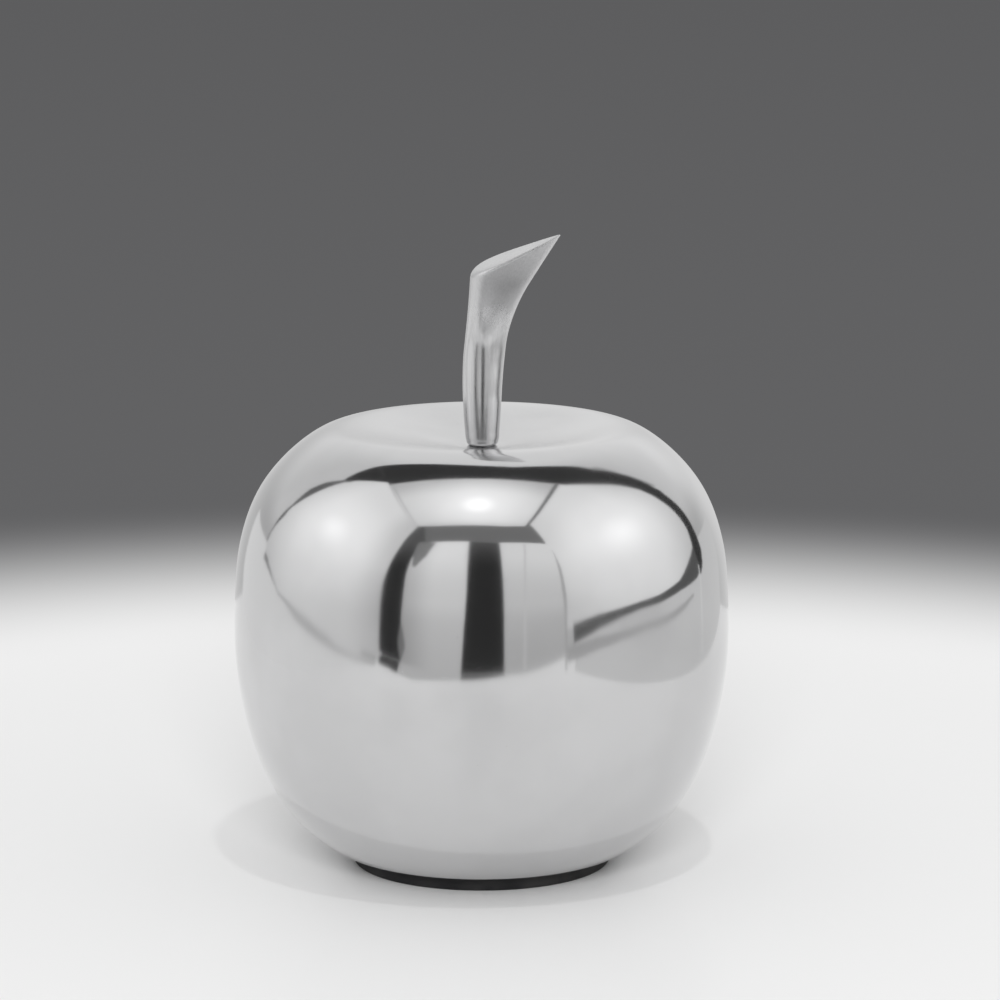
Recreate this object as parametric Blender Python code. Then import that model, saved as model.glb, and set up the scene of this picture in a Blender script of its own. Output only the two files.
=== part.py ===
"""A polished cast-metal apple ornament: a hollow body, a stem set in its socket, and a pad underneath.

Lengths below are in millimetres and are turned into metres by mm. The body's axis is Z, and the pad's
underside is at Z = 0. The stem leans towards +X and a little towards -Y.
"""

from math import cos, pi, radians, sin, tan

import bmesh
import bpy
import numpy as np

mm = 0.001
sharpAngle = radians(35)

# Body: control points (radius, height) of a smooth cubic curve, from the flat base's edge, round the
# widest girth of 140 mm, over the shoulder and down into the dimple.
bodyOutline = [
    (39.5, 3.7),
    (45.2, 6.3),
    (55.0, 13.7),
    (64.2, 30.7),
    (69.0, 50.4),
    (70.3, 65.9),
    (69.5, 83.5),
    (68.7, 92.0),
    (63.4, 109.8),
    (46.1, 125.5),
    (36.0, 125.5),
    (26.0, 123.5),
    (16.5, 121.8),
    (10.0, 120.5),
    (6.5, 120.0),
]
bodyWall = 4.0
wallClearance = 1.0
floorInset = 1.5
coreHoleRadius = 26.0
socketRadius = 3.5
bossRadius = 8.0
bossBottom = 110.0
bodySegments = 64
outerSteps = 38
innerSteps = 18

# Pad: a disc that the base stands on, a hair below the casting.
padRadius = 36.5
padGap = 0.3
padEdge = 0.5
padSegments = 64
levelTolerance = 1e-7

# Stem: (height, left edge, right edge, middle's depth, half depth, taper towards the right) of each
# section. A taper of 0 is an ellipse, and a larger one a teardrop that narrows to the right. The stem's
# upper part leans towards -Y, the side that the photograph shows.
stemSections = [
    (120.3, -3.7, 4.3, 0.0, 3.9, 0.0),
    (121.2, -4.2, 4.7, 0.0, 4.4, 0.0),
    (124.5, -4.7, 5.1, 0.0, 4.9, 0.0),
    (130.5, -5.1, 5.5, 0.0, 5.2, 0.0),
    (138.0, -5.3, 5.9, 0.0, 5.4, 0.0),
    (145.1, -5.1, 6.5, -0.6, 5.5, 0.05),
    (151.3, -4.5, 7.3, -1.8, 5.6, 0.15),
    (157.7, -3.9, 9.1, -3.6, 5.8, 0.28),
    (164.1, -3.4, 11.8, -6.0, 6.0, 0.38),
    (170.6, -3.0, 15.5, -8.8, 6.1, 0.44),
    (177.2, -2.7, 19.4, -11.8, 6.1, 0.48),
    (184.8, -2.4, 23.9, -15.4, 6.1, 0.50),
]
stemSegments = 28
spigotRadius = 3.2
spigotBottom = 111.0
cutPoint = (9.0, 0.0, 177.3)
cutRise = radians(25.5)
cutTilt = radians(6.9)
cutRound = 0.5
shortestEdge = 0.1


def clearScene():
    for item in list(bpy.data.objects):
        bpy.data.objects.remove(item, do_unlink=True)


def makeMaterial(name, colour, metallic, roughness):
    material = bpy.data.materials.new(name)
    material.use_nodes = True
    shader = material.node_tree.nodes["Principled BSDF"]
    shader.inputs["Base Color"].default_value = (*colour, 1.0)
    shader.inputs["Metallic"].default_value = metallic
    shader.inputs["Roughness"].default_value = roughness
    return material


def addObject(name, shape, material):
    """Makes a named object from a bmesh, smooth but for its sharp edges."""
    bmesh.ops.recalc_face_normals(shape, faces=shape.faces)
    mesh = bpy.data.meshes.new(name)
    shape.to_mesh(mesh)
    shape.free()
    mesh.shade_smooth()
    mesh.set_sharp_from_angle(angle=sharpAngle)
    mesh.materials.append(material)
    item = bpy.data.objects.new(name, mesh)
    bpy.context.scene.collection.objects.link(item)
    return item


def smoothCurve(control, steps):
    """Points and tangents of a clamped cubic B-spline through its end points, at even parameter steps."""
    points = np.array(control, float)
    degree = 3
    inner = np.linspace(0.0, 1.0, len(points) - degree + 1)
    knots = np.concatenate([[0.0] * degree, inner, [1.0] * degree])

    def at(value):
        span = min(int(np.searchsorted(knots, value, side="right")) - 1, len(points) - 1)
        near = [points[span - degree + i].copy() for i in range(degree + 1)]
        for level in range(1, degree + 1):
            for i in range(degree, level - 1, -1):
                low = knots[span - degree + i]
                high = knots[span + 1 + i - level]
                share = (value - low) / (high - low)
                near[i] = (1 - share) * near[i - 1] + share * near[i]
        return near[degree]

    values = np.linspace(0.0, 1.0, steps + 1)
    nudge = 1e-4
    curve = np.array([at(v) for v in values])
    ahead = np.array([at(min(v + nudge, 1.0)) for v in values])
    behind = np.array([at(max(v - nudge, 0.0)) for v in values])
    tangents = ahead - behind
    tangents /= np.linalg.norm(tangents, axis=1)[:, None]
    return curve, tangents


def bodyProfile():
    """The closed outline of the casting's wall, as (radius, height), up the outside and down the inside."""
    outer, _ = smoothCurve(bodyOutline, outerSteps)
    baseHeight = bodyOutline[0][1]
    landHeight = bodyOutline[-1][1]
    ceilingHeight = landHeight - bodyWall
    floorHeight = baseHeight + bodyWall

    middle, tangents = smoothCurve(bodyOutline, innerSteps)
    inwards = np.stack([-tangents[:, 1], tangents[:, 0]], axis=1)
    inner = middle + bodyWall * inwards
    lowest = floorHeight + wallClearance
    narrowest = bossRadius + wallClearance
    inner = [point for point in inner if point[1] > lowest and point[0] > narrowest]

    profile = [(coreHoleRadius, baseHeight)]
    profile += [tuple(point) for point in outer]
    profile += [
        (socketRadius, landHeight),
        (socketRadius, bossBottom),
        (bossRadius, bossBottom),
        (bossRadius, ceilingHeight),
    ]
    profile += [tuple(point) for point in reversed(inner)]
    profile += [(bodyOutline[0][0] - floorInset, floorHeight), (coreHoleRadius, floorHeight)]
    return profile


def turned(profile, segments):
    """A closed profile turned about Z."""
    shape = bmesh.new()
    ring = [shape.verts.new((radius * mm, 0.0, height * mm)) for radius, height in profile]
    edges = [shape.edges.new((ring[i - 1], ring[i])) for i in range(len(ring))]
    bmesh.ops.spin(
        shape,
        geom=ring + edges,
        cent=(0.0, 0.0, 0.0),
        axis=(0.0, 0.0, 1.0),
        angle=2 * pi,
        steps=segments,
        use_merge=True,
    )
    return shape


def makeBody(material):
    addObject("body", turned(bodyProfile(), bodySegments), material)


def makePad(material):
    shape = bmesh.new()
    bmesh.ops.create_circle(shape, cap_ends=True, radius=padRadius * mm, segments=padSegments)
    thickness = bodyOutline[0][1] - padGap
    top = bmesh.ops.extrude_face_region(shape, geom=shape.faces[:])["geom"]
    raised = [v for v in top if isinstance(v, bmesh.types.BMVert)]
    bmesh.ops.translate(shape, verts=raised, vec=(0.0, 0.0, thickness * mm))
    rims = [e for e in shape.edges if abs(e.verts[0].co.z - e.verts[1].co.z) < levelTolerance]
    bmesh.ops.bevel(shape, geom=rims, offset=padEdge * mm, segments=1, profile=0.5, affect="EDGES")
    addObject("base_pad", shape, material)


def stemRing(section):
    """The corners of one section of the stem, round from the right edge."""
    height, left, right, middleDepth, depth, taper = section
    middle = (left + right) / 2
    half = (right - left) / 2
    ring = []
    for i in range(stemSegments):
        turn = 2 * pi * i / stemSegments
        x = middle + half * cos(turn)
        y = middleDepth + depth * sin(turn) * (1 - taper * cos(turn))
        ring.append((x * mm, y * mm, height * mm))
    return ring


def makeStem(material):
    spigot = [
        (spigotBottom, -spigotRadius, spigotRadius, 0.0, spigotRadius, 0.0),
        (stemSections[0][0], -spigotRadius, spigotRadius, 0.0, spigotRadius, 0.0),
    ]
    shape = bmesh.new()
    rings = [[shape.verts.new(point) for point in stemRing(section)] for section in spigot + stemSections]
    for lower, upper in zip(rings, rings[1:]):
        for i in range(stemSegments):
            shape.faces.new((lower[i - 1], lower[i], upper[i], upper[i - 1]))
    shape.faces.new(rings[0])
    shape.faces.new(rings[-1])

    normal = (-tan(cutRise), -tan(cutTilt), 1.0)
    cut = bmesh.ops.bisect_plane(
        shape,
        geom=shape.verts[:] + shape.edges[:] + shape.faces[:],
        plane_co=[value * mm for value in cutPoint],
        plane_no=normal,
        clear_outer=True,
    )
    rim = [e for e in cut["geom_cut"] if isinstance(e, bmesh.types.BMEdge)]
    face = bmesh.ops.holes_fill(shape, edges=rim, sides=0)["faces"]
    bmesh.ops.remove_doubles(shape, verts=face[0].verts[:], dist=shortestEdge * mm)
    rim = face[0].edges[:]
    bmesh.ops.bevel(shape, geom=rim, offset=cutRound * mm, segments=1, profile=0.5, affect="EDGES")
    bmesh.ops.dissolve_degenerate(shape, edges=shape.edges[:], dist=shortestEdge * mm)
    addObject("stem", shape, material)


def main():
    clearScene()
    polished = makeMaterial("polished_aluminium", (0.91, 0.92, 0.92), 1.0, 0.07)
    satin = makeMaterial("satin_aluminium", (0.90, 0.90, 0.90), 1.0, 0.2)
    black = makeMaterial("black_pad", (0.015, 0.015, 0.016), 0.0, 0.95)
    makeBody(polished)
    makeStem(satin)
    makePad(black)


main()
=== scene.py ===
from math import atan2, cos, pi, radians, sin, tan

import bmesh
import bpy
import numpy as np
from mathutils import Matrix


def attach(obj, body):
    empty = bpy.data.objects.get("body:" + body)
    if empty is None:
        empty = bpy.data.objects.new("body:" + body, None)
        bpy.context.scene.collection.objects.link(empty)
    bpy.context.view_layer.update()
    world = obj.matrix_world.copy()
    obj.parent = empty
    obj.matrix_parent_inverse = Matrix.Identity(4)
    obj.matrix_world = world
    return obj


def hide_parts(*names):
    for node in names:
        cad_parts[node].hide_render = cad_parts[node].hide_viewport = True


# The looks of a polished cast apple ornament: body, stem and pad, on a pale floor inside a tent of
# soft light panels. The pieces are given in millimetres and made in metres.
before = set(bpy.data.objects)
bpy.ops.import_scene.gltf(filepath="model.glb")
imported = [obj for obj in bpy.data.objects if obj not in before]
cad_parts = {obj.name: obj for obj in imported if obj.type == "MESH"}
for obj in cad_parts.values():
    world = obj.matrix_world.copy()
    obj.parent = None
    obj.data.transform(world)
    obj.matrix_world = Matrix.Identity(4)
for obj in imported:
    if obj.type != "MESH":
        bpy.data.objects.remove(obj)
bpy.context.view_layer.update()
mm = 0.001
print("frame loaded:", sorted(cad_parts))


# Small helpers for meshes and nodes

def makeObject(name, shape, material):
    mesh = bpy.data.meshes.new(name)
    shape.to_mesh(mesh)
    shape.free()
    mesh.materials.append(material)
    made = bpy.data.objects.new(name, mesh)
    bpy.context.scene.collection.objects.link(made)
    return made


def settleOrder(shape):
    # spin and extrude leave corners and faces in any order; this gives them the same one at each run
    for parts, place in (
        (shape.verts, lambda corner: tuple(corner.co)),
        (shape.faces, lambda face: tuple(face.calc_center_median())),
    ):
        for i, part in enumerate(sorted(parts, key=place)):
            part.index = i
        parts.sort()


def addPiece(name, shape, material, sharpAngle, nodeName):
    bmesh.ops.recalc_face_normals(shape, faces=shape.faces[:])
    settleOrder(shape)
    piece = makeObject(name, shape, material)
    piece.data.shade_smooth()
    piece.data.set_sharp_from_angle(angle=radians(sharpAngle))
    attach(piece, "root")
    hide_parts(nodeName)
    print("made", name, len(piece.data.polygons), "faces")


def addNode(tree, kind, settings=None, **inputs):
    # an input is named, with _ for a space, or counted, as i0, i1 and so on
    made = tree.nodes.new(kind)
    for key, value in (settings or {}).items():
        setattr(made, key, value)
    for key, value in inputs.items():
        socket = made.inputs[int(key[1:])] if key[1:].isdigit() else made.inputs[key.replace("_", " ")]
        if isinstance(value, bpy.types.NodeSocket):
            tree.links.new(value, socket)
        else:
            socket.default_value = value
    return made


def calculate(tree, operation, first, second=0.0, third=0.0):
    made = addNode(tree, "ShaderNodeMath", {"operation": operation}, i0=first, i1=second, i2=third)
    return made.outputs[0]


def remap(tree, value, fromLow, fromHigh, toLow, toHigh, easing="SMOOTHSTEP"):
    made = addNode(
        tree, "ShaderNodeMapRange", {"interpolation_type": easing, "clamp": True},
        Value=value, From_Min=fromLow, From_Max=fromHigh, To_Min=toLow, To_Max=toHigh,
    )
    return made.outputs["Result"]


def blendColour(tree, factor, first, second):
    made = addNode(
        tree, "ShaderNodeMix", {"data_type": "RGBA"}, i0=factor, i6=(*first, 1.0), i7=(*second, 1.0),
    )
    return made.outputs[2]


def newMaterial(name, metallic, roughness, specular=0.5):
    material = bpy.data.materials.new(name)
    material.use_nodes = True
    tree = material.node_tree
    shader = tree.nodes["Principled BSDF"]
    shader.inputs["Metallic"].default_value = metallic
    shader.inputs["Roughness"].default_value = roughness
    shader.inputs["Specular IOR Level"].default_value = specular
    place = tree.nodes.new("ShaderNodeTexCoord").outputs["Object"]
    return material, tree, shader, place


def connectBump(tree, shader, height):
    # the height is in metres
    bump = addNode(tree, "ShaderNodeBump", Height=height, Distance=1.0, Strength=1.0)
    tree.links.new(bump.outputs[0], shader.inputs["Normal"])


# Node groups that more than one finish uses

def newGroup(name, values, results):
    # takes a vector and the named values, and puts out the named results
    group = bpy.data.node_groups.new(name, "ShaderNodeTree")
    group.interface.new_socket("Vector", in_out="INPUT", socket_type="NodeSocketVector")
    for key, value in values.items():
        socket = group.interface.new_socket(key, in_out="INPUT", socket_type="NodeSocketFloat")
        socket.default_value = value
    for key in results:
        group.interface.new_socket(key, in_out="OUTPUT", socket_type="NodeSocketFloat")
    given = group.nodes.new("NodeGroupInput")
    result = group.nodes.new("NodeGroupOutput")
    return group, given.outputs, result.inputs


def makeScratchGroup():
    # thin, long marks along one direction of the vector, width and length in millimetres
    values = {"Width": 0.3, "Length": 20.0, "Share": 0.3}
    group, given, result = newGroup("fineScratches", values, ["Mask"])
    across = calculate(group, "DIVIDE", 1 / mm, given["Width"])
    along = calculate(group, "DIVIDE", 1 / mm, given["Length"])
    parts = addNode(group, "ShaderNodeSeparateXYZ", i0=given["Vector"]).outputs
    stretched = addNode(
        group, "ShaderNodeCombineXYZ",
        X=calculate(group, "MULTIPLY", parts[0], along),
        Y=calculate(group, "MULTIPLY", parts[1], along),
        Z=calculate(group, "MULTIPLY", parts[2], across),
    ).outputs[0]
    noise = addNode(
        group, "ShaderNodeTexNoise", Vector=stretched, Scale=1.0, Detail=5.0, Roughness=0.62,
    ).outputs[0]
    start = calculate(group, "SUBTRACT", 0.72, calculate(group, "MULTIPLY", given["Share"], 0.3))
    end = calculate(group, "ADD", start, 0.12)
    group.links.new(remap(group, noise, start, end, 0.0, 1.0), result["Mask"])
    return group


def makeWearGroup():
    # cloudy patches and small specks, for handling marks, dust and casting pores; sizes in millimetres
    values = {"Patch Size": 25.0, "Speck Spacing": 4.0, "Speck Size": 0.1}
    group, given, result = newGroup("handlingWear", values, ["Patches", "Specks"])
    patchScale = calculate(group, "DIVIDE", 1 / mm, given["Patch Size"])
    speckScale = calculate(group, "DIVIDE", 1 / mm, given["Speck Spacing"])
    place = given["Vector"]
    patches = addNode(group, "ShaderNodeTexNoise", Vector=place, Scale=patchScale, Detail=3.0).outputs[0]
    specks = addNode(group, "ShaderNodeTexVoronoi", Vector=place, Scale=speckScale).outputs[0]
    group.links.new(remap(group, patches, 0.38, 0.68, 0.0, 1.0), result["Patches"])
    group.links.new(remap(group, specks, 0.0, given["Speck Size"], 1.0, 0.0), result["Specks"])
    return group


scratchGroup = makeScratchGroup()
wearGroup = makeWearGroup()


def placeGroup(tree, group, vector, **values):
    made = tree.nodes.new("ShaderNodeGroup")
    made.node_tree = group
    tree.links.new(vector, made.inputs["Vector"])
    for key, value in values.items():
        made.inputs[key.replace("_", " ")].default_value = value
    return made.outputs


# Body: a turned, hollow casting

bodyShape = {
    # control points (radius, height) of the smooth outside, from the base's edge up and into the dimple
    "outline": [
        (39.5, 3.7), (45.2, 6.3), (55.0, 13.7), (64.2, 30.7), (69.0, 50.4), (70.3, 65.9), (69.5, 83.5),
        (68.7, 92.0), (63.4, 109.8), (46.1, 125.5), (36.0, 125.5), (26.0, 123.5), (16.5, 121.8),
        (10.0, 120.5), (6.5, 120.0),
    ],
    "curveSteps": 14,
    "turnSteps": 320,
    "innerEvery": 3,
    "wall": 4.0,
    "wallClearance": 1.0,
    "floorInset": 1.5,
    "coreHoleRadius": 26.0,
    "socketRadius": 3.5,
    "bossRadius": 8.0,
    "bossBottom": 110.0,
}


def smoothOutline(points, steps):
    # the points of a clamped cubic curve, as Blender draws it
    curve = bpy.data.curves.new("outline", "CURVE")
    curve.dimensions = "3D"
    spline = curve.splines.new("NURBS")
    spline.points.add(len(points) - 1)
    for point, (radius, height) in zip(spline.points, points):
        point.co = (radius, 0.0, height, 1.0)
    spline.order_u = 4
    spline.use_endpoint_u = True
    spline.resolution_u = steps
    holder = bpy.data.objects.new("outline", curve)
    line = bpy.data.meshes.new_from_object(holder)
    result = np.array([(vertex.co.x, vertex.co.z) for vertex in line.vertices])
    bpy.data.objects.remove(holder)
    bpy.data.meshes.remove(line)
    bpy.data.curves.remove(curve)
    return result


def makeBody(material):
    outer = smoothOutline(bodyShape["outline"], bodyShape["curveSteps"])
    ahead = np.gradient(outer, axis=0)
    ahead /= np.linalg.norm(ahead, axis=1)[:, None]
    inner = outer + bodyShape["wall"] * np.stack([-ahead[:, 1], ahead[:, 0]], axis=1)
    baseHeight = outer[0][1]
    landHeight = outer[-1][1]
    floorHeight = baseHeight + bodyShape["wall"]
    ceilingHeight = landHeight - bodyShape["wall"]
    holeRadius, bossRadius = bodyShape["coreHoleRadius"], bodyShape["bossRadius"]
    socketRadius, bossBottom = bodyShape["socketRadius"], bodyShape["bossBottom"]
    lowest = floorHeight + bodyShape["wallClearance"]
    narrowest = bossRadius + bodyShape["wallClearance"]
    inner = [p for p in inner[:: bodyShape["innerEvery"]] if p[1] > lowest and p[0] > narrowest]

    # the wall's closed outline, up the outside, round the socket and its boss, and down the inside
    profile = [(holeRadius, baseHeight), *map(tuple, outer)]
    profile += [(socketRadius, landHeight), (socketRadius, bossBottom)]
    profile += [(bossRadius, bossBottom), (bossRadius, ceilingHeight)]
    profile += [*map(tuple, reversed(inner))]
    profile += [(outer[0][0] - bodyShape["floorInset"], floorHeight), (holeRadius, floorHeight)]

    shape = bmesh.new()
    ring = [shape.verts.new((radius * mm, 0.0, height * mm)) for radius, height in profile]
    edges = [shape.edges.new((ring[i - 1], ring[i])) for i in range(len(ring))]
    bmesh.ops.spin(
        shape, geom=ring + edges, cent=(0, 0, 0), axis=(0, 0, 1), angle=2 * pi,
        steps=bodyShape["turnSteps"], use_merge=True,
    )
    addPiece("polished_body", shape, material, 20, "body")


bodyFinish = {
    "colour": (0.66, 0.66, 0.665),
    "hazyColour": (0.62, 0.62, 0.625),
    "roughness": 0.075,
    "scratchRoughness": 0.05,
    "hazeRoughness": 0.035,
    "speckRoughness": 0.25,
    "dimpleRoughness": 0.15,
    "dimpleReach": (20.0, 44.0),    # mm from the axis, over which the brushing fades
    "dimpleLevel": (112.0, 119.0),  # mm up, over which it sets in
    "girth": 70.0,                  # mm, the radius that the marks are wrapped round
    "waveLength": 24.0,             # mm
    "waveHeight": 0.016,            # mm
    "scratchHeight": 0.0012,        # mm
    "brushHeight": 0.006,           # mm
    "speckDepth": 0.01,             # mm
}


def makePolished():
    material, tree, shader, place = newMaterial("polished_cast_aluminium", 1.0, bodyFinish["roughness"])
    parts = addNode(tree, "ShaderNodeSeparateXYZ", i0=place).outputs
    flat = addNode(tree, "ShaderNodeCombineXYZ", X=parts[0], Y=parts[1]).outputs[0]
    radius = addNode(tree, "ShaderNodeVectorMath", {"operation": "LENGTH"}, i0=flat).outputs[1]
    outwards = addNode(tree, "ShaderNodeVectorMath", {"operation": "NORMALIZE"}, i0=flat).outputs[0]
    outParts = addNode(tree, "ShaderNodeSeparateXYZ", i0=outwards).outputs
    aroundX = calculate(tree, "MULTIPLY", outParts[0], bodyFinish["girth"] * mm)
    aroundY = calculate(tree, "MULTIPLY", outParts[1], bodyFinish["girth"] * mm)
    rise = calculate(tree, "SUBTRACT", parts[2], radius)   # grows up the outside, into the dimple
    wrapped = addNode(tree, "ShaderNodeCombineXYZ", X=aroundX, Y=aroundY, Z=rise).outputs[0]

    aroundMarks = placeGroup(tree, scratchGroup, wrapped, Width=0.22, Length=14.0, Share=0.25)
    swirled = addNode(tree, "ShaderNodeMapping", Vector=wrapped, Rotation=(0.9, 0.5, 0.3)).outputs[0]
    swirlMarks = placeGroup(tree, scratchGroup, swirled, Width=0.3, Length=9.0, Share=0.2)
    marks = calculate(tree, "MAXIMUM", aroundMarks["Mask"], swirlMarks["Mask"])
    wear = placeGroup(tree, wearGroup, place, Patch_Size=34.0, Speck_Spacing=5.0, Speck_Size=0.045)

    # brush marks that run down into the dimple, towards the stem
    spokes = addNode(
        tree, "ShaderNodeCombineXYZ",
        X=calculate(tree, "MULTIPLY", outParts[0], 26.0),
        Y=calculate(tree, "MULTIPLY", outParts[1], 26.0),
        Z=calculate(tree, "MULTIPLY", radius, 60.0),
    ).outputs[0]
    brush = addNode(
        tree, "ShaderNodeTexNoise", Vector=spokes, Scale=1.0, Detail=3.0, Roughness=0.55,
    ).outputs[0]
    near, away = bodyFinish["dimpleReach"]
    low, high = bodyFinish["dimpleLevel"]
    nearStem = remap(tree, radius, near * mm, away * mm, 1.0, 0.0)
    onTop = remap(tree, parts[2], low * mm, high * mm, 0.0, 1.0)
    dimple = calculate(tree, "MULTIPLY", nearStem, onTop)
    brushed = calculate(tree, "MULTIPLY", dimple, brush)

    colour = blendColour(tree, wear["Patches"], bodyFinish["colour"], bodyFinish["hazyColour"])
    tree.links.new(colour, shader.inputs["Base Color"])
    soft = calculate(tree, "MULTIPLY", calculate(tree, "MULTIPLY_ADD", brush, 0.5, 0.5), dimple)
    rough = calculate(tree, "MULTIPLY", marks, bodyFinish["scratchRoughness"])
    for amount, source in (
        (bodyFinish["hazeRoughness"], wear["Patches"]),
        (bodyFinish["dimpleRoughness"], soft),
        (bodyFinish["speckRoughness"], wear["Specks"]),
    ):
        rough = calculate(tree, "ADD", rough, calculate(tree, "MULTIPLY", source, amount))
    rough = calculate(tree, "ADD", rough, bodyFinish["roughness"])
    tree.links.new(rough, shader.inputs["Roughness"])

    waveScale = 1 / (bodyFinish["waveLength"] * mm)
    wave = addNode(tree, "ShaderNodeTexNoise", Vector=wrapped, Scale=waveScale, Detail=1.0).outputs[0]
    height = calculate(tree, "MULTIPLY", wave, bodyFinish["waveHeight"] * mm)
    for amount, source in (
        (bodyFinish["scratchHeight"], marks),
        (bodyFinish["brushHeight"], brushed),
        (-bodyFinish["speckDepth"], wear["Specks"]),
    ):
        height = calculate(tree, "ADD", height, calculate(tree, "MULTIPLY", source, amount * mm))
    connectBump(tree, shader, height)
    return material


# Stem: a leaning casting that widens upwards to an oblique cut

stemShape = {
    # height, left edge, right edge, middle's depth, half depth, taper towards the right
    "sections": [
        (120.05, -3.4, 4.0, 0.0, 3.7, 0.0),
        (120.4, -3.9, 4.4, 0.0, 4.1, 0.0),
        (121.4, -4.3, 4.8, 0.0, 4.5, 0.0),
        (124.5, -4.7, 5.1, 0.0, 4.9, 0.0),
        (130.5, -5.1, 5.5, 0.0, 5.2, 0.0),
        (138.0, -5.3, 5.9, 0.0, 5.4, 0.0),
        (145.0, -5.1, 6.5, 0.0, 5.5, 0.05),
        (151.1, -4.5, 7.3, -0.4, 5.6, 0.15),
        (157.4, -3.9, 9.1, -1.8, 5.8, 0.28),
        (163.9, -3.4, 11.8, -4.4, 6.0, 0.38),
        (170.5, -3.0, 15.5, -7.8, 6.1, 0.44),
        (177.2, -2.7, 19.4, -11.4, 6.1, 0.48),
        (184.8, -2.4, 23.9, -15.4, 6.1, 0.50),
    ],
    "spigotRadius": 3.2,
    "spigotBottom": 111.0,
    "segments": 80,
    "plainHeight": 131.0,    # rings stay level up to here and then turn towards the cut
    "levelRings": 26,
    "turningRings": 56,
    "cutPoint": (9.0, 0.0, 177.3),
    "cutRise": 25.5,         # degrees, towards the tip
    "cutTilt": 6.9,          # degrees, towards the back
    "leftRound": 1.8,        # mm, at the left end of the cut
    "edgeRound": 0.9,        # mm, along its sides
    "tipRound": 0.6,         # mm, at the tip
    "roundSteps": 5,
    "capInset": 0.12,        # share of the way to the cut's middle, for its inner ring
}


def easedRow(rows, height):
    # the row of values at a height, on a smooth curve through the given rows
    table = np.array(rows, float)
    heights = table[:, 0]
    i = int(np.clip(np.searchsorted(heights, height) - 1, 0, len(heights) - 2))
    slopes = np.gradient(table[:, 1:], heights, axis=0)
    width = heights[i + 1] - heights[i]
    t = np.clip((height - heights[i]) / width, 0.0, 1.0)
    start = (1 + 2 * t) * (1 - t) ** 2 * table[i, 1:] + t * (1 - t) ** 2 * width * slopes[i]
    end = t * t * (3 - 2 * t) * table[i + 1, 1:] + t * t * (t - 1) * width * slopes[i + 1]
    return start + end


def stemSide(turn, height):
    # a point of the stem's side, in mm, by its turn about the middle and its height
    rows = stemShape["sections"]
    if height < rows[0][0]:
        radius = stemShape["spigotRadius"]
        return np.array([radius * cos(turn), radius * sin(turn), height])
    left, right, middleDepth, depth, taper = easedRow(rows, height)
    x = (left + right) / 2 + (right - left) / 2 * cos(turn)
    y = middleDepth + depth * sin(turn) * (1 - taper * cos(turn))
    return np.array([x, y, height])


def cutLevel(point):
    # the height of the cut's plane over a point
    x, y, height = stemShape["cutPoint"]
    rise = (point[0] - x) * tan(radians(stemShape["cutRise"]))
    tilt = (point[1] - y) * tan(radians(stemShape["cutTilt"]))
    return height + rise + tilt


def cutHeight(turn):
    # how high the side reaches at one turn before it meets the cut, by halving
    low, high = stemShape["plainHeight"], stemShape["sections"][-1][0]
    for _ in range(40):
        middle = (low + high) / 2
        if middle < cutLevel(stemSide(turn, middle)):
            low = middle
        else:
            high = middle
    return low


def stemColumn(turn):
    # the stem's points at one turn, from the spigot's foot, up the side and over the cut's rounded rim
    foot = stemShape["sections"][0][0]
    top = cutHeight(turn)
    side = (1 - cos(turn)) / 2
    rounding = stemShape["tipRound"] + (stemShape["edgeRound"] - stemShape["tipRound"]) * min(1.0, side * 3)
    rounding += (stemShape["leftRound"] - stemShape["edgeRound"]) * max(0.0, (side - 0.6) / 0.4) ** 1.5
    heights = [stemShape["spigotBottom"], foot - 0.001]
    shares = np.linspace(0, 1, stemShape["levelRings"]) ** 1.7
    heights += list(foot + (stemShape["plainHeight"] - foot) * shares)
    heights += list(np.linspace(stemShape["plainHeight"], top - rounding, stemShape["turningRings"])[1:])
    column = [stemSide(turn, height) for height in heights]
    nudge = 0.02
    along = stemSide(turn + nudge, top) - stemSide(turn - nudge, top)
    inwards = np.array([-along[1], along[0], 0.0]) / np.linalg.norm(along[:2])
    for step in range(1, stemShape["roundSteps"] + 1):
        bend = pi / 2 * step / stemShape["roundSteps"]
        point = stemSide(turn, top - rounding * (1 - sin(bend))) + inwards * rounding * (1 - cos(bend))
        point[2] = cutLevel(point) - rounding * (1 - sin(bend))
        column.append(point)
    return column


def makeStem(material):
    turns = [2 * pi * i / stemShape["segments"] for i in range(stemShape["segments"])]
    columns = [stemColumn(turn) for turn in turns]
    centre = np.mean([column[-1] for column in columns], axis=0)
    for column in columns:
        column.append(column[-1] + (centre - column[-1]) * stemShape["capInset"])
    shape = bmesh.new()
    rim = bmesh.ops.create_circle(shape, radius=mm, segments=stemShape["segments"])["verts"]
    bmesh.ops.holes_fill(shape, edges=shape.edges[:], sides=0)
    edges = shape.edges[:]
    for column, corner in zip(columns, rim):
        corner.co = column[0] * mm
    for level in range(1, len(columns[0])):
        before = {tuple(corner.co): i for i, corner in enumerate(rim)}
        grown = bmesh.ops.extrude_edge_only(shape, edges=edges)["geom"]
        edges = [part for part in grown if isinstance(part, bmesh.types.BMEdge)]
        corners = [part for part in grown if isinstance(part, bmesh.types.BMVert)]
        # the new corners still lie on the old ones, which gives their order
        rim = sorted(corners, key=lambda corner: before[tuple(corner.co)])
        for column, corner in zip(columns, rim):
            corner.co = column[level] * mm
    bmesh.ops.holes_fill(shape, edges=edges, sides=0)
    addPiece("stem_casting", shape, material, 40, "stem")


stemFinish = {
    "colour": (0.66, 0.66, 0.665),
    "dullColour": (0.58, 0.58, 0.585),
    "roughness": 0.13,
    "streakRoughness": 0.12,
    "hazeRoughness": 0.05,
    "scratchRoughness": 0.03,
    "upperRoughness": 0.13,
    "upperLevel": (150.0, 168.0),   # mm up, over which the upper part gets softer
    "streakHeight": 0.004,          # mm
    "broadHeight": 0.02,            # mm
    "speckDepth": 0.015,            # mm
}


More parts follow.
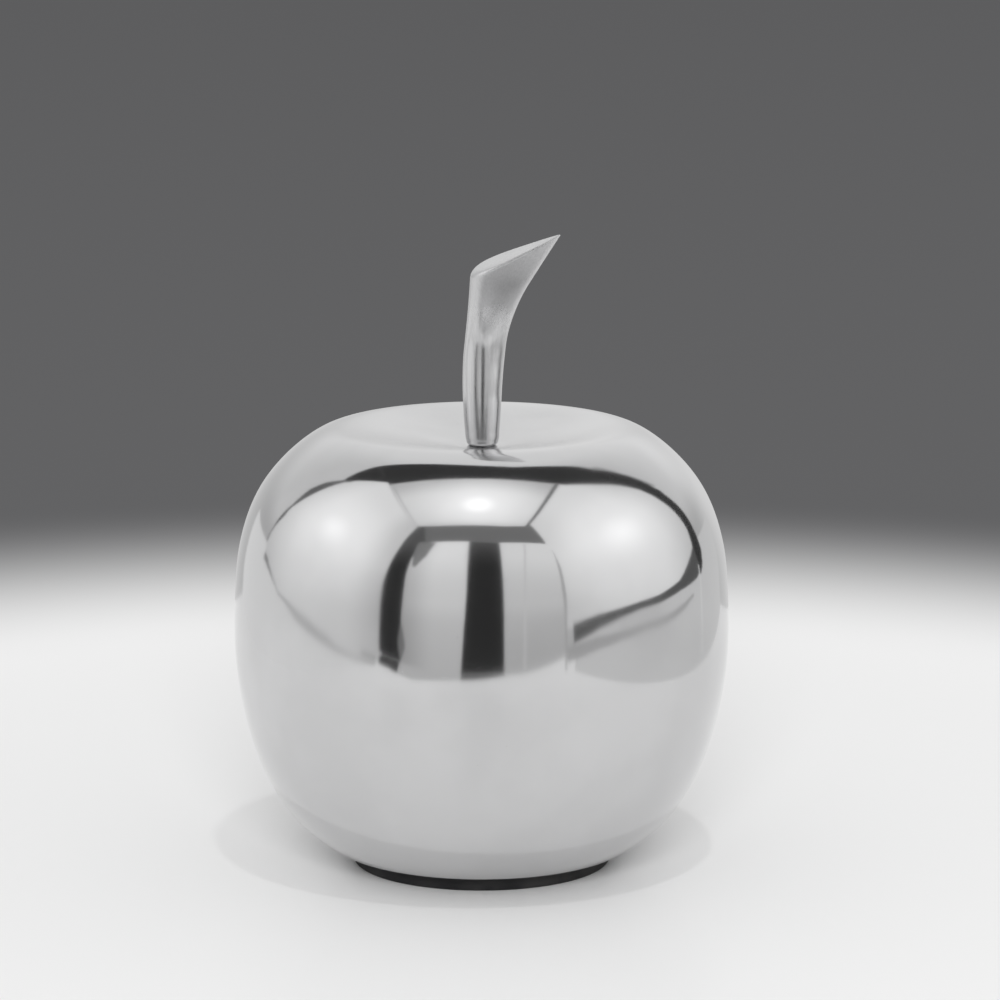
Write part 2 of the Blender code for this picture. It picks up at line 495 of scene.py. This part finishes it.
def makeSatin():
    material, tree, shader, place = newMaterial("satin_cast_aluminium", 1.0, stemFinish["roughness"])
    upended = addNode(tree, "ShaderNodeMapping", Vector=place, Rotation=(0, pi / 2, 0)).outputs[0]
    scratches = placeGroup(tree, scratchGroup, upended, Width=0.3, Length=0.45, Share=0.4)
    lengthways = addNode(tree, "ShaderNodeMapping", Vector=place, Scale=(1.0, 1.0, 0.035)).outputs[0]
    streaks = addNode(
        tree, "ShaderNodeTexNoise", Vector=lengthways, Scale=1 / (0.5 * mm), Detail=4.0, Roughness=0.6,
    ).outputs[0]
    broad = addNode(
        tree, "ShaderNodeTexNoise", Vector=lengthways, Scale=1 / (2.2 * mm), Detail=2.0,
    ).outputs[0]
    wear = placeGroup(tree, wearGroup, place, Patch_Size=9.0, Speck_Spacing=2.2, Speck_Size=0.05)

    dullness = remap(tree, streaks, 0.35, 0.7, 0.0, 1.0, "LINEAR")
    colour = blendColour(tree, dullness, stemFinish["colour"], stemFinish["dullColour"])
    tree.links.new(colour, shader.inputs["Base Color"])
    low, high = stemFinish["upperLevel"]
    level = addNode(tree, "ShaderNodeSeparateXYZ", i0=place).outputs[2]
    rough = remap(tree, level, low * mm, high * mm, 0.0, stemFinish["upperRoughness"])
    for amount, source in (
        (stemFinish["streakRoughness"], streaks),
        (stemFinish["hazeRoughness"], wear["Patches"]),
        (stemFinish["scratchRoughness"], scratches["Mask"]),
    ):
        rough = calculate(tree, "ADD", rough, calculate(tree, "MULTIPLY", source, amount))
    tree.links.new(calculate(tree, "ADD", rough, stemFinish["roughness"]), shader.inputs["Roughness"])

    height = calculate(tree, "MULTIPLY", streaks, stemFinish["streakHeight"] * mm)
    for amount, source in (
        (stemFinish["broadHeight"], broad),
        (-stemFinish["speckDepth"], wear["Specks"]),
    ):
        height = calculate(tree, "ADD", height, calculate(tree, "MULTIPLY", source, amount * mm))
    connectBump(tree, shader, height)
    return material


# Pad: a thin disc that the ornament stands on; its near-black colour is painted shade for the gap under the
# body's edge

padShape = {
    "radius": 36.5,
    "thickness": 3.65,
    "edgeRound": 0.6,
    "segments": 160,
}


def makePad(material):
    shape = bmesh.new()
    bmesh.ops.create_circle(
        shape, cap_ends=True, radius=padShape["radius"] * mm, segments=padShape["segments"],
    )
    raised = bmesh.ops.extrude_face_region(shape, geom=shape.faces[:])["geom"]
    corners = [part for part in raised if isinstance(part, bmesh.types.BMVert)]
    bmesh.ops.translate(shape, verts=corners, vec=(0, 0, padShape["thickness"] * mm))
    rims = [edge for edge in shape.edges if abs(edge.verts[0].co.z - edge.verts[1].co.z) < 1e-7]
    bmesh.ops.bevel(
        shape, geom=rims, offset=padShape["edgeRound"] * mm, segments=3,
        profile=0.5, affect="EDGES", material=-1,
    )
    addPiece("black_base_pad", shape, material, 40, "base_pad")


padFinish = {
    # near-black: painted shade for the dark gap between the body's edge and the floor
    "colour": (0.012, 0.012, 0.013),
    "dustColour": (0.045, 0.044, 0.043),
    "roughness": 0.72,
    "roughnessSpread": (-0.08, 0.12),
    "grainSize": 0.35,     # mm
    "grainHeight": 0.06,   # mm
}


def makePaintedShadePad():
    material, tree, shader, place = newMaterial("black_pad_painted_shade", 0.0, padFinish["roughness"], 0.3)
    grainScale = 1 / (padFinish["grainSize"] * mm)
    grain = addNode(
        tree, "ShaderNodeTexNoise", Vector=place, Scale=grainScale, Detail=5.0, Roughness=0.7,
    ).outputs[0]
    wear = placeGroup(tree, wearGroup, place, Patch_Size=12.0, Speck_Spacing=1.6, Speck_Size=0.06)
    dust = calculate(tree, "MULTIPLY", wear["Patches"], grain)
    dust = calculate(tree, "MAXIMUM", dust, wear["Specks"])
    colour = blendColour(tree, dust, padFinish["colour"], padFinish["dustColour"])
    tree.links.new(colour, shader.inputs["Base Color"])
    smoothest, roughest = (padFinish["roughness"] + spread for spread in padFinish["roughnessSpread"])
    rough = remap(tree, grain, 0.3, 0.7, smoothest, roughest, "LINEAR")
    tree.links.new(rough, shader.inputs["Roughness"])
    connectBump(tree, shader, calculate(tree, "MULTIPLY", grain, padFinish["grainHeight"] * mm))
    return material


makeBody(makePolished())
makeStem(makeSatin())
makePad(makePaintedShadePad())


# Floor and lamps

floorLook = {
    "radius": 6.0,       # metres, as every length here
    "colour": (0.80, 0.80, 0.80),
    "farColour": (0.115, 0.115, 0.118),
    "fadeFrom": 0.275,
    "fadeTo": 0.55,
    "roughness": 0.32,
    "sheen": 0.25,
    "sheenFrom": 0.05,
    "sheenTo": 0.32,
}


def makePaleFloor():
    material, tree, shader, place = newMaterial("pale_floor", 0.0, floorLook["roughness"])
    distance = addNode(tree, "ShaderNodeVectorMath", {"operation": "LENGTH"}, i0=place).outputs[1]
    far = remap(tree, distance, floorLook["fadeFrom"], floorLook["fadeTo"], 0.0, 1.0, "SMOOTHERSTEP")
    seen = tree.nodes.new("ShaderNodeLightPath").outputs["Is Camera Ray"]
    far = calculate(tree, "MULTIPLY", far, seen)   # reflections keep the whole floor pale
    colour = blendColour(tree, far, floorLook["colour"], floorLook["farColour"])
    tree.links.new(colour, shader.inputs["Base Color"])
    sheen = remap(tree, distance, floorLook["sheenFrom"], floorLook["sheenTo"], floorLook["sheen"], 0.0)
    tree.links.new(sheen, shader.inputs["Specular IOR Level"])
    return material


def makeFloor():
    shape = bmesh.new()
    bmesh.ops.create_circle(shape, cap_ends=True, radius=floorLook["radius"], segments=192)
    makeObject("floor", shape, makePaleFloor())


# places and sizes in metres
lamps = {
    "wideFront": {"place": (0.0, -12.0, 6.0), "size": 5.5, "watts": 1120.0},
    "distantLamp": {"place": (0.234, -0.983, 3.10), "size": 0.13, "watts": 10.2},
}


def makeLamps():
    for name, values in lamps.items():
        light = bpy.data.lights.new(name, "AREA")
        light.shape = "DISK"
        light.size = values["size"]
        light.energy = values["watts"]
        lamp = bpy.data.objects.new(name, light)
        lamp.location = values["place"]
        x, y, z = values["place"]
        lamp.rotation_euler = (atan2(np.hypot(x, y), z), 0.0, atan2(x, -y))
        lamp.visible_camera = False
        lamp.visible_glossy = False
        bpy.context.scene.collection.objects.link(lamp)


# Light tent: soft panels that only reflections see. Its walls are given as outlines on a plane, in
# millimetres, in the tent's own frame, which is turned a little about the object. A wall's outline runs
# over its back edge, its lower edge and its front edge.

tent = {
    "turn": -3.1,        # degrees about Z
    "gain": 1.04,
    "left": -285.0,
    "right": 235.0,
    "front": -393.0,
    "top": 602.0,
    "behind": 345.0,
    "dark": 0.045,       # level of the dark band and the slots
}


def onPlane(plane, offset, point):
    u, v = point
    return {"x": (offset, u, v), "y": (u, offset, v), "z": (u, v, offset)}[plane]


def panelMaterial(name, level, fades, spots):
    # a glow of one level, with fades (axis, start, end, factor there) and spots (centre, reach, gain)
    material = bpy.data.materials.new(name)
    material.use_nodes = True
    tree = material.node_tree
    tree.nodes.clear()
    place = tree.nodes.new("ShaderNodeTexCoord").outputs["Object"]
    parts = addNode(tree, "ShaderNodeSeparateXYZ", i0=place).outputs
    value = level
    for axis, start, end, factor in fades:
        along = calculate(tree, "ABSOLUTE", parts[0]) if axis == "width" else parts["xyz".index(axis)]
        fade = remap(tree, along, start * mm, end * mm, 1.0, factor)
        value = calculate(tree, "MULTIPLY", value, fade)
    for centre, reach, gain in spots:
        middle = [number * mm for number in centre]
        away = addNode(tree, "ShaderNodeVectorMath", {"operation": "DISTANCE"}, i0=place, i1=middle)
        value = calculate(tree, "ADD", value, remap(tree, away.outputs[1], 0.0, reach * mm, gain, 0.0))
    value = calculate(tree, "MULTIPLY", value, tent["gain"])
    glow = addNode(tree, "ShaderNodeEmission", Strength=value)
    sink = tree.nodes.new("ShaderNodeOutputMaterial")
    tree.links.new(glow.outputs[0], sink.inputs["Surface"])
    material.cycles.emission_sampling = "NONE"
    return material


def addPanel(name, plane, offset, outline, level, fades=(), spots=()):
    shape = bmesh.new()
    points = [onPlane(plane, offset, point) for point in outline]
    shape.faces.new([shape.verts.new([number * mm for number in point]) for point in points])
    bmesh.ops.triangulate(shape, faces=shape.faces[:])
    panel = makeObject(name, shape, panelMaterial(name, level, fades, spots))
    panel.rotation_euler.z = radians(tent["turn"])
    panel.visible_camera = False
    panel.visible_diffuse = False
    panel.visible_shadow = False
    panel.visible_transmission = False


def addStrip(name, plane, offset, line, widths, level):
    # a thin band along a line on the plane; the widths run from its first point to its last
    points = np.array(line, float)
    ahead = np.gradient(points, axis=0)
    ahead /= np.linalg.norm(ahead, axis=1)[:, None]
    side = np.stack([-ahead[:, 1], ahead[:, 0]], axis=1)
    half = np.interp(np.linspace(0, 1, len(points)), np.linspace(0, 1, len(widths)), widths)[:, None] / 2
    outline = [*map(tuple, points + side * half), *map(tuple, (points - side * half)[::-1])]
    addPanel(name, plane, offset, outline, level)


def makeCeiling():
    # the ceiling and its seams; gives back its edge at the back
    left, right, top = tent["left"], tent["right"], tent["top"]
    ceilingBack = [(right, 6), (177, -11), (90, -22), (-6, -26), (-114, -24), (-200, -14), (left, 2)]
    ceilingFront = [(left, -386), (-143, -401), (17, -404), (128, -397), (right, -374)]
    addPanel("ceiling", "z", top, ceilingFront + ceilingBack, 0.86,
             [("y", -140, -10, 0.72), ("y", -330, -400, 0.86)],
             [((0, -212, top), 300, 0.42), ((0, -212, top), 80, 0.40)])
    addStrip("ceilingSeamLeft", "z", top - 2, [(left + 14, -386), (left + 14, 4)], [5, 5], 0.5)
    addStrip("ceilingSeamLeftEdge", "x", left + 2, [(-386, top - 6), (4, top - 6)], [7, 7], 0.6)
    addStrip("ceilingSeamRight", "z", top - 2, [(right - 7, -372), (right - 7, 0)], [15, 15], 0.12)
    return ceilingBack


def makeLeftWall():
    # its lower edge rises towards the back, and the table shows under it
    left = tent["left"]
    leftBack = [(20, 610), (30, 575), (53, 507), (75, 442), (93, 395), (108, 352), (118, 300), (116, 270),
                (107, 243), (100, 205), (97, 184), (108, 148), (115, 120), (105, 98)]
    leftLow = [(86, 97), (46, 80), (22, 62), (-35, 50), (-85, 43), (-133, 35), (-167, 27), (-213, 19),
               (-309, 2)]
    leftFront = [(-330, 2), (-331, 32), (-334, 81), (-335, 168), (-340, 244), (-368, 350), (-385, 509),
                 (-400, 610)]
    addPanel("leftWall", "x", left, leftBack + leftLow + leftFront, 0.93,
             [("z", 250, 40, 0.80), ("y", -180, -345, 0.80), ("y", -10, 110, 0.82)],
             [((left, -76, 248), 300, 0.24), ((left, -76, 248), 75, 0.17)])
    addPanel("leftTable", "x", left - 30, [(340, -20), (340, 130), (100, 120), (-322, 40), (-322, -20)], 0.84)
    addStrip("leftEdgeLine", "x", left + 1, leftLow, [4, 3, 5, 7, 9, 6, 4, 5], 0.50)
    addStrip("leftHemLine", "x", left + 1, [(-250, 20), (-312, 9)], [3, 3], 0.25)
    addStrip("leftWedge", "x", left + 1, [(106, 100), (87, 97), (58, 87), (35, 71)], [8, 7, 5, 2], 0.16)
    backLine = [(78, 425), (93, 392), (112, 340), (119, 288), (108, 243), (101, 205), (98, 184), (110, 147),
                (116, 118)]
    addStrip("leftBackLine", "x", left + 1, backLine, [10, 11, 10, 8, 6, 4, 5, 5], 0.12)


def makeRightWall():
    # the wall, the dark gap under it, and the table; gives back its edge at the back
    right = tent["right"]
    rightBack = [(4, 610), (10, 553), (30, 480), (49, 414), (75, 346), (85, 313), (93, 286), (98, 246),
                 (97, 211), (95, 173), (99, 140), (92, 114)]
    rightLow = [(78, 104), (50, 97), (22, 84), (-33, 77), (-80, 74), (-127, 71), (-179, 65), (-266, 51),
                (-290, 48)]
    rightFront = [(-289, 68), (-286, 140), (-289, 212), (-303, 300), (-316, 376), (-322, 460), (-327, 538),
                  (-351, 610)]
    addPanel("rightWall", "x", right, rightBack + rightLow + rightFront, 0.95,
             [("z", 260, 70, 0.80), ("y", -130, -300, 0.92), ("y", -10, 100, 0.78)],
             [((right, -72, 222), 300, 0.26), ((right, -68, 217), 80, 0.20)])
    gap = [(98, 98), (78, 91), (50, 86), (22, 80), (-33, 73), (-80, 71), (-127, 66), (-179, 60), (-262, 46)]
    addPanel("rightTable", "x", right + 30,
             [(340, -20), (340, 120), (110, 120), (-286, 66), (-286, -20)], 0.68)
    addStrip("rightGap", "x", right - 1, gap, [34, 32, 25, 15, 11, 10, 11, 13, 16], 0.11)
    tableLine = [(66, 59), (36, 56), (-10, 54), (-68, 53), (-123, 49), (-185, 42), (-287, 24)]
    addStrip("rightTableLine", "x", right - 1, tableLine, [3, 4, 4, 5, 9, 16], 0.44)
    addStrip("rightFlapLine", "x", right - 2, [(97, 90), (98, 55), (99, 18)], [4, 4], 0.80)
    addStrip("rightFrontEdge", "x", right - 1,
             [(-292, 5), (-287, 134), (-291, 212), (-306, 303)], [6, 5, 4, 2], 0.45)
    return rightBack


def makeFrontWall():
    # two parts with the dark slots between, under a grey hem
    front, top = tent["front"], tent["top"]
    frontFades = [("z", 330, 130, 0.78), ("z", 130, 0, 0.76)]
    addPanel("frontLeft", "y", front,
             [(-237, 0), (-237, 44), (-233, 117), (-233, 222), (-223, 315), (-209, 404), (-21, 402),
              (-23, 259), (-21, 160), (-25, 69), (-32, 36), (-37, 0)],
             0.98, frontFades + [("x", -110, -235, 0.72)])
    addPanel("frontRight", "y", front,
             [(88, 0), (91, 42), (88, 154), (87, 262), (87, 398), (420, 440), (420, 0)], 0.87, frontFades)
    addStrip("frontSeam", "y", front + 1,
             [(153, 0), (155, 127), (165, 240), (181, 358), (186, 404)], [7, 7], 0.66)
    addStrip("frontBlob", "y", front + 1, [(-238, 8), (-234, 24), (-236, 44)], [10, 34, 8], 0.20)
    addStrip("frontSmear", "y", front + 1,
             [(-180, 402), (-186, 370), (-194, 310), (-206, 250)], [74, 70, 58, 12], 0.26)
    addPanel("hem", "y", front - 4,
             [(-196, 415), (-131, 408), (-48, 401), (105, 396), (238, 423), (345, 440), (345, top + 60),
              (-243, top + 60), (-226, 545), (-204, 456)], 0.20)
    addPanel("slotBack", "y", front - 6,
             [(-420, -9), (360, 4), (360, top + 60), (-420, top + 60)], 0.11, [("z", 440, 240, 0.28)])


def makeFrontFeet():
    # where the front wall and its slots meet the table, lying just over the floor
    left, front, height = tent["left"], tent["front"], 0.5
    addPanel("frontFoot", "z", height,
             [(-240, front), (-206, -322), (-152, -314), (-93, -337), (-33, -356), (-36, front)], 0.56)
    addPanel("leftSlotFoot", "z", height,
             [(left - 40, -332), (-282, -329), (-244, -331), (-206, -322), (-240, front), (left - 40, front)],
             tent["dark"])
    addPanel("slotFoot", "z", height,
             [(-36, front), (-33, -356), (27, -366), (84, -377), (90, front)], tent["dark"])
    addPanel("frontRightFoot", "z", height,
             [(90, front), (84, -377), (145, -368), (219, -377), (330, -388), (405, -391), (420, front)],
             0.54)


def makeBands(ceilingBack, rightBack):
    # the dark band behind the ceiling, running down both sides
    left, right, top = tent["left"], tent["right"], tent["top"]
    ceilingOuter = [(left, 190), (-242, 184), (-103, 160), (-9, 128), (69, 113), (149, 151), (220, 188),
                    (right, 197)]
    addPanel("topBand", "z", top - 1, ceilingBack + ceilingOuter, tent["dark"])
    bandOuter = [(92, 90), (99, 76), (107, 77), (122, 86), (133, 100), (130, 131), (123, 169), (131, 210),
                 (140, 247), (131, 282), (119, 306), (107, 333), (121, 397), (150, 500), (197, top)]
    addPanel("rightBand", "x", right + 1, rightBack + bandOuter, tent["dark"])
    addStrip("rightBandHaze", "x", right + 2, [(165, 500), (135, 400), (122, 340), (134, 305), (148, 262)],
             [40, 36, 30, 22, 8], 0.42)
    addPanel("leftBand", "x", left - 1,
             [(2, top), (30, 575), (53, 507), (75, 442), (90, 402), (101, 402), (123, 454), (148, 511),
              (190, top)], tent["dark"])


def makeRoom():
    behind = tent["behind"]
    addPanel("roomBehind", "y", behind, [(-1300, -20), (1300, -20), (1300, 1700), (-1300, 1700)], 0.87,
             [("z", 290, 150, 0.74), ("width", 80, 480, 0.80)],
             [((190, behind, 160), 200, 0.17), ((0, behind, 190), 95, 0.13)])


def makeTent():
    ceilingBack = makeCeiling()
    makeLeftWall()
    rightBack = makeRightWall()
    makeFrontWall()
    makeFrontFeet()
    makeBands(ceilingBack, rightBack)
    makeRoom()
    print("tent built")


world = {"seen": 0.755, "mirrored": 0.03}


def makeWorld():
    made = bpy.data.worlds.new("studio")
    bpy.context.scene.world = made
    made.use_nodes = True
    tree = made.node_tree
    tree.nodes.clear()
    path = tree.nodes.new("ShaderNodeLightPath")
    seen = addNode(tree, "ShaderNodeBackground", Strength=world["seen"])
    mirrored = addNode(tree, "ShaderNodeBackground", Strength=world["mirrored"])
    mix = tree.nodes.new("ShaderNodeMixShader")
    sink = tree.nodes.new("ShaderNodeOutputWorld")
    for lightNode in (seen, mirrored):
        lightNode.inputs["Color"].default_value = (1.0, 1.0, 1.0, 1.0)
    tree.links.new(path.outputs["Is Glossy Ray"], mix.inputs[0])
    tree.links.new(seen.outputs[0], mix.inputs[1])
    tree.links.new(mirrored.outputs[0], mix.inputs[2])
    tree.links.new(mix.outputs[0], sink.inputs["Surface"])


# Camera, at the photograph's angle: level with the object's front, looking down a little

cameraSetup = {
    "place": (5.22, -1456.9, 389.4),   # mm
    "downwards": 11.078,               # degrees
    "focalShare": 5.26,                # focal length as a share of the picture's width
    "sensor": 36.0,
}


def makeCamera():
    data = bpy.data.cameras.new("camera")
    data.sensor_width = cameraSetup["sensor"]
    data.lens = cameraSetup["focalShare"] * cameraSetup["sensor"]
    data.clip_end = 50.0
    camera = bpy.data.objects.new("camera", data)
    camera.location = [value * mm for value in cameraSetup["place"]]
    camera.rotation_euler = (radians(90 - cameraSetup["downwards"]), 0.0, 0.0)
    bpy.context.scene.collection.objects.link(camera)
    bpy.context.scene.camera = camera


makeFloor()
makeLamps()
print("floor and lamps placed")
makeTent()
makeWorld()
makeCamera()
print("world and camera set")
bpy.context.scene.view_settings.view_transform = "Standard"
